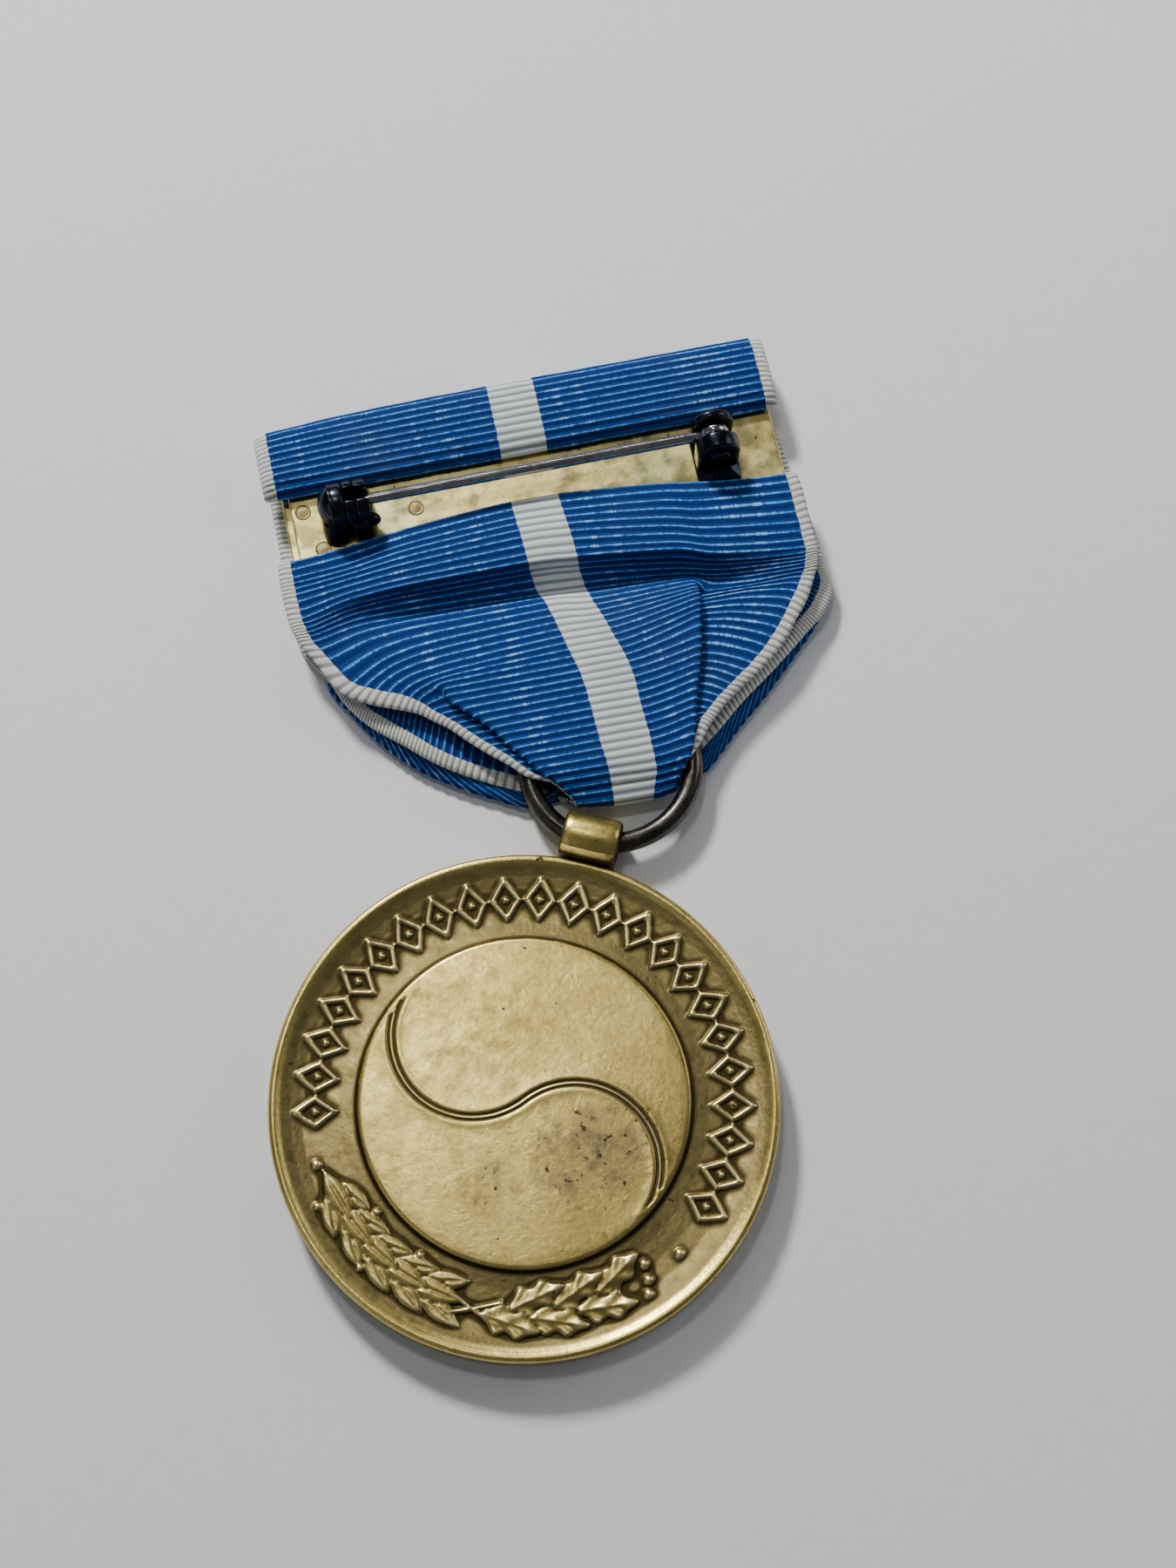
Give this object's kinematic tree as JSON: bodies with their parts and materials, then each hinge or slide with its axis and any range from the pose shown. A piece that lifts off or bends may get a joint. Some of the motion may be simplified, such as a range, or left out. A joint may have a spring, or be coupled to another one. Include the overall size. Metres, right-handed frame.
{
  "type": "military service medal",
  "caption": "Struck bronze medallion on a jump ring and a folded striped ribbon, with a pin brooch and turning safety catch on the back.",
  "frame": {"origin": "centre of the medallion's front face, which is its flat centre boss and lies face down on z = 0", "axes": "+Y from the medallion towards the brooch, the way the medal hangs when it is worn; +Z out of the back, towards the pin; +X along the brooch, from the catch to the hinge"},
  "size_m": [0.0431, 0.0646, 0.0058],
  "materials": {
    "bronze": "antiqued bronze, satin on the high points, dark in the recesses",
    "ring_metal": "dark tarnished wire",
    "brass_sheet": "pale mottled satin",
    "black_oxide": "glossy black",
    "pin_steel": "dark drawn wire",
    "ribbon_weave": "ribbed silk with white selvedges and centre stripe"
  },
  "bodies": {
    "brooch": {"carrier_bar": "brass_sheet", "back_plate": "brass_sheet", "plate_rivet_1": "brass_sheet", "plate_rivet_2": "brass_sheet", "plate_rivet_3": "brass_sheet", "hinge_base": "black_oxide", "hinge_rivet": "pin_steel", "catch_body": "black_oxide", "ribbon_top_wrap": "ribbon_weave", "ribbon_front_leaf": "ribbon_weave", "ribbon_back_leaf": "ribbon_weave"},
    "pin": {"pin_stem": "pin_steel"},
    "rotor": {"catch_rotor": "black_oxide"},
    "loop": {"ribbon_loop": "ribbon_weave"},
    "ring": {"suspension_ring": "ring_metal"},
    "medallion": {"medallion_disc": "bronze", "suspension_lug": "bronze"}
  },
  "joints": [
    {"name": "pin_hinge", "type": "hinge", "parent": "brooch", "child": "pin", "pos_m": [0.02145, 0.04125, 0.0043], "axis": [0, 1, 0], "range_deg": [0, 90]},
    {"name": "catch_lock", "type": "hinge", "parent": "brooch", "child": "rotor", "pos_m": [-0.0029, 0.0412, 0.0043], "axis": [-1, 0, 0], "range_deg": [0, 90]},
    {"name": "loop_swing", "type": "hinge", "parent": "brooch", "child": "loop", "pos_m": [0.0087, 0.0283, 0.0015], "axis": [-1, 0, 0], "range_deg": [-45, 45]},
    {"name": "ring_turn", "type": "hinge", "parent": "loop", "child": "ring", "pos_m": [0.00991, 0.02069, 0.0016], "axis": [0, 0, 1], "range_deg": [-20, 45]},
    {"name": "medallion_swing", "type": "hinge", "parent": "ring", "child": "medallion", "pos_m": [0.00762, 0.01591, 0.0016], "axis": [-0.9018, 0.4321, 0], "range_deg": [-90, 75]}
  ]
}
